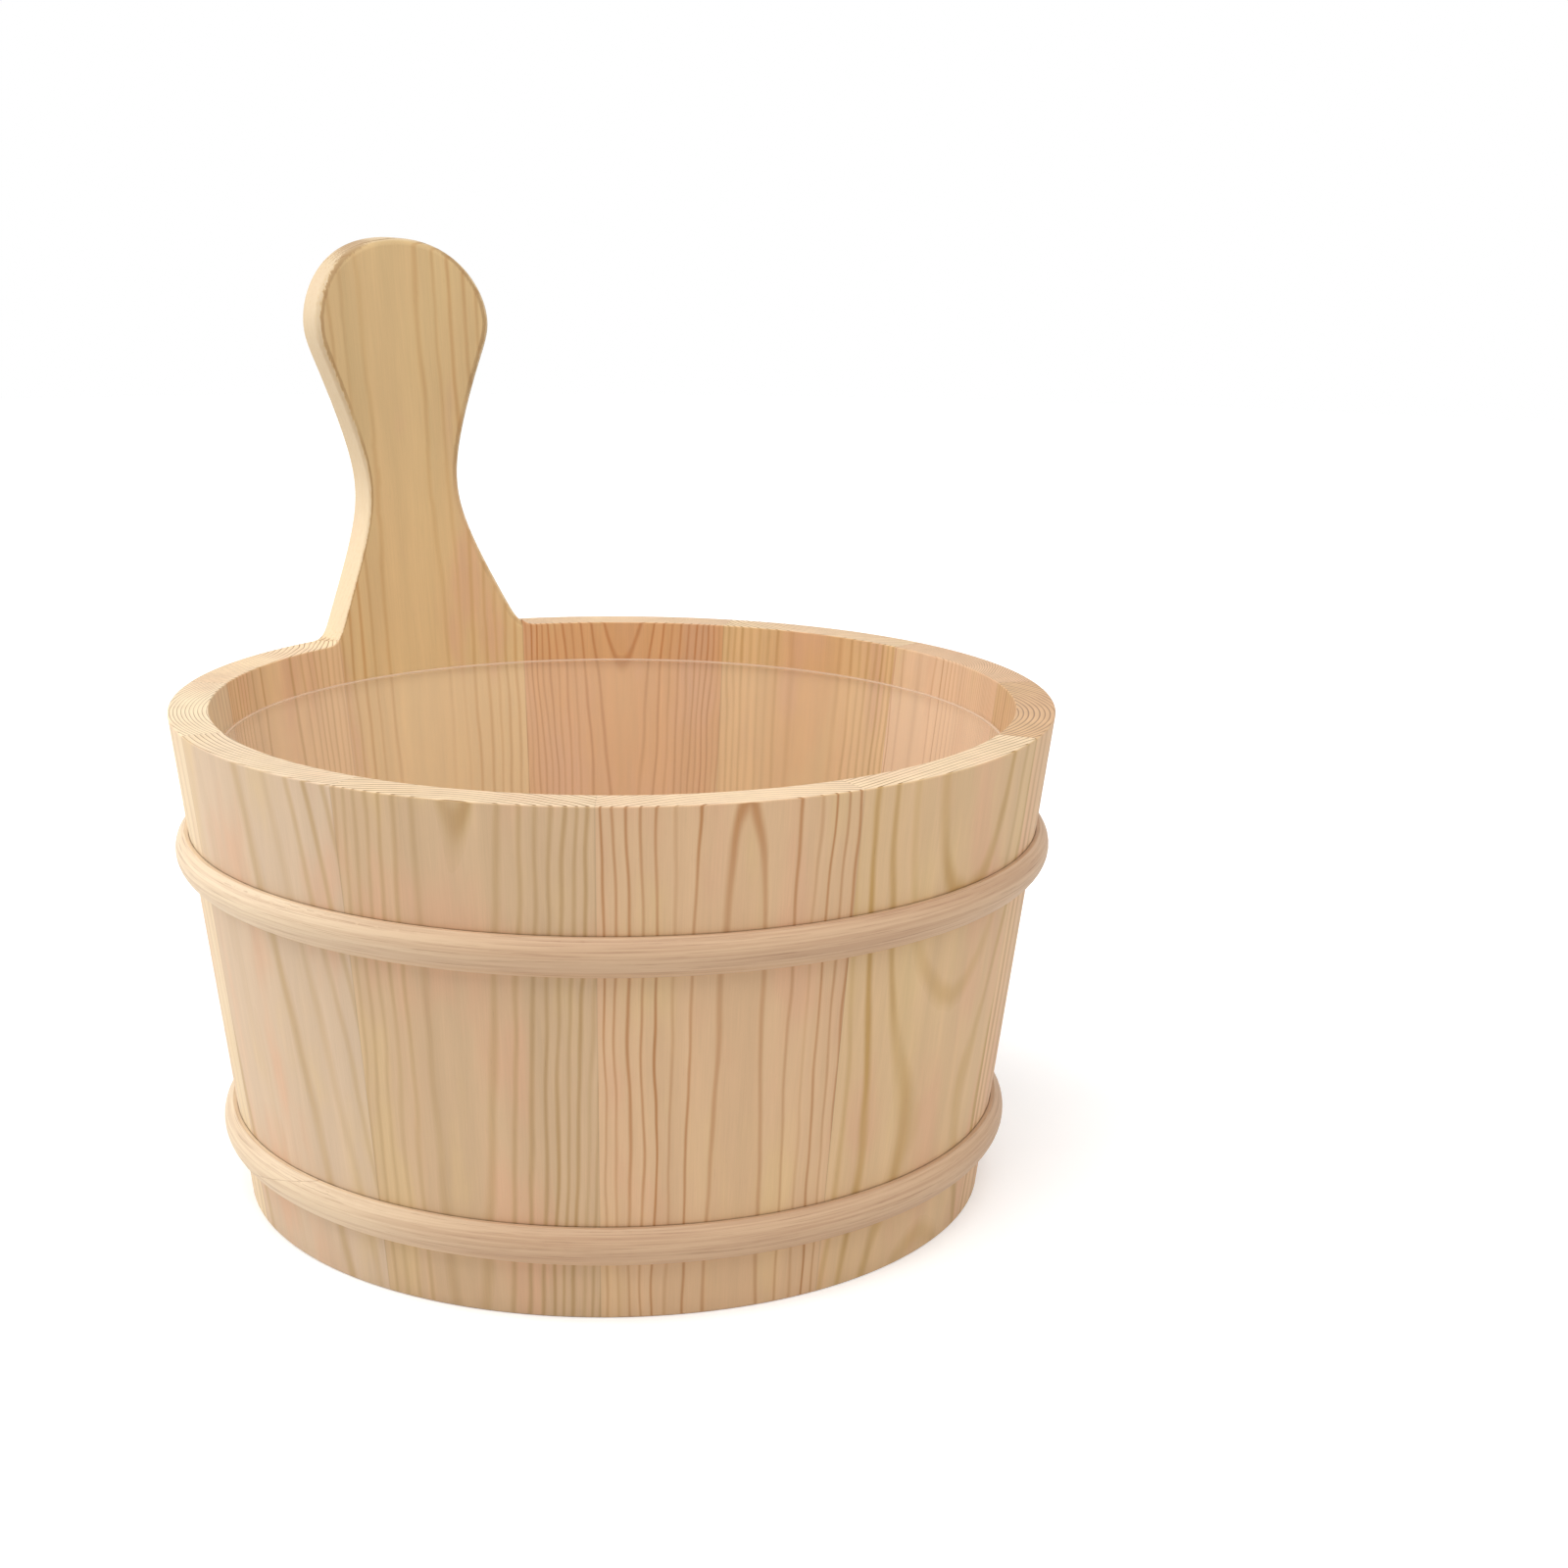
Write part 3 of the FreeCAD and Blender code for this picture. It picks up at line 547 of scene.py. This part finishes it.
plastic = milky.blend(at_lip, milky.blend(scuffs, PLASTIC, SCUFFED), LIP_TONE)
milky.feed(liner_shader.inputs["Base Color"], plastic)
rough = milky.sum("MULTIPLY_ADD", scuffs, SCUFF_ROUGH, SCUFF_ROUGH)
milky.feed(liner_shader.inputs["Roughness"], rough)
dress("liner", liner_finish)

# The floor: a plain pale board under the pail, wide enough to fill the view. It is white
# to the eye, keeps the pail's shadow, and throws no more light on it than a floor would.
FLOOR_RADIUS = 2.5
FLOOR_CORNERS = 96
FLOOR_PALE = tone(232, 232, 232)
FLOOR_PALER = tone(236, 236, 236)
FLOOR_GRAIN = 20 * MM
WHITE = tone(255, 255, 255)
LIFT, LIFT_FAR = 0.33, 0.3
NEAR, FAR = 0.25, 1.2
floor_mesh = bpy.data.meshes.new("floor")
turns = [corner * math.tau / FLOOR_CORNERS for corner in range(FLOOR_CORNERS)]
ring = [(FLOOR_RADIUS * math.cos(turn), FLOOR_RADIUS * math.sin(turn), 0) for turn in turns]
floor_mesh.from_pydata(ring, [], [tuple(range(FLOOR_CORNERS))])
floor = bpy.data.objects.new("floor", floor_mesh)
bpy.context.scene.collection.objects.link(floor)
floor_finish = bpy.data.materials.new("pale_floor")
floor_finish.use_nodes = True
floor_finish.node_tree.nodes.clear()
pale = Finish(floor_finish.node_tree)
spot = pale.add("TexCoord").outputs["Object"]
clouds = pale.noise(pale.stretched(*pale.parts(spot), FLOOR_GRAIN, FLOOR_GRAIN), 7.0)
lit = pale.add("BsdfDiffuse", {"Color": pale.blend(clouds, FLOOR_PALE, FLOOR_PALER)}).outputs[0]


def in_sight(finish):
    """One where the eye sees a surface itself, in gloss or through something clear, else nought."""
    rays = finish.add("LightPath").outputs
    second_hand = finish.sum("MAXIMUM", rays["Is Glossy Ray"], rays["Is Transmission Ray"])
    return finish.sum("MAXIMUM", rays["Is Camera Ray"], second_hand)


lift = pale.sum("MULTIPLY_ADD", pale.step(pale.length(spot), NEAR, FAR), LIFT_FAR, LIFT)
glow = pale.add("Emission", {"Color": WHITE, "Strength": pale.sum("MULTIPLY", in_sight(pale), lift)})
pale.add("OutputMaterial", {"Surface": pale.add("AddShader", {0: lit, 1: glow.outputs[0]}).outputs[0]})
floor_mesh.materials.append(floor_finish)

# The light: a white room that lights the pail softly from all sides, and three wide soft
# lamps. The window is on the left, the ceiling lamp in front and above, and a weak fill on
# the right keeps that side from going dull.
AMBIENT = 0.45
world = bpy.data.worlds.new("white_room")
world.use_nodes = True
world.node_tree.nodes.clear()
room = Finish(world.node_tree)
level = room.sum("MULTIPLY_ADD", in_sight(room), 1 - AMBIENT, AMBIENT)
room.add("OutputWorld", {"Surface": room.add("Background", {"Color": WHITE, "Strength": level}).outputs[0]})
bpy.context.scene.world = world

# The side that the view is taken from, in degrees from the side opposite the handle
AZIMUTH = math.radians(-32.25)
LAMP_AIM = Vector((0, 0, 0.12))


def lamp(name, side, rise, away, size, watts):
    """A soft lamp that many degrees to the right of the view and over the floor, aimed at the pail."""
    light = bpy.data.lights.new(name, "AREA")
    light.size = size
    light.energy = watts
    hung = bpy.data.objects.new(name, light)
    turn = AZIMUTH + math.radians(side)
    up = math.radians(rise)
    towards = Vector((math.sin(turn) * math.cos(up), -math.cos(turn) * math.cos(up), math.sin(up)))
    hung.location = LAMP_AIM + away * towards
    hung.rotation_euler = (LAMP_AIM - hung.location).to_track_quat("-Z", "Y").to_euler()
    bpy.context.scene.collection.objects.link(hung)


lamp("window", -105, 24, 1.5, 1.0, 11)
lamp("ceiling", -10, 66, 1.5, 1.3, 18)
lamp("fill", 70, 35, 1.7, 1.2, 4.5)

# The view: the pail from a little above and from its left front, so that the handle
# stands at the far left. The pail fills the left of the frame, and the right stays empty.
VIEW_AWAY = 801.1 * MM
VIEW_RISE = math.radians(14.21)
VIEW_YAW = math.radians(3.73)
VIEW_ROLL = math.radians(-0.17)
AIM_HEIGHT = 124.7 * MM
camera = bpy.data.objects.new("camera", bpy.data.cameras.new("camera"))
camera.data.lens = 58.97
camera.data.sensor_width = 36
camera.data.clip_start = 0.01
stand = Vector((0, -VIEW_AWAY * math.cos(VIEW_RISE), AIM_HEIGHT + VIEW_AWAY * math.sin(VIEW_RISE)))
around = Matrix.Rotation(AZIMUTH, 4, "Z")
tilt = (Matrix.Rotation(math.pi / 2 - VIEW_RISE, 4, "X") @ Matrix.Rotation(-VIEW_YAW, 4, "Y")
        @ Matrix.Rotation(VIEW_ROLL, 4, "Z"))
camera.matrix_world = around @ Matrix.Translation(stand) @ tilt
bpy.context.scene.collection.objects.link(camera)
bpy.context.scene.camera = camera
bpy.context.scene.view_settings.view_transform = "Standard"
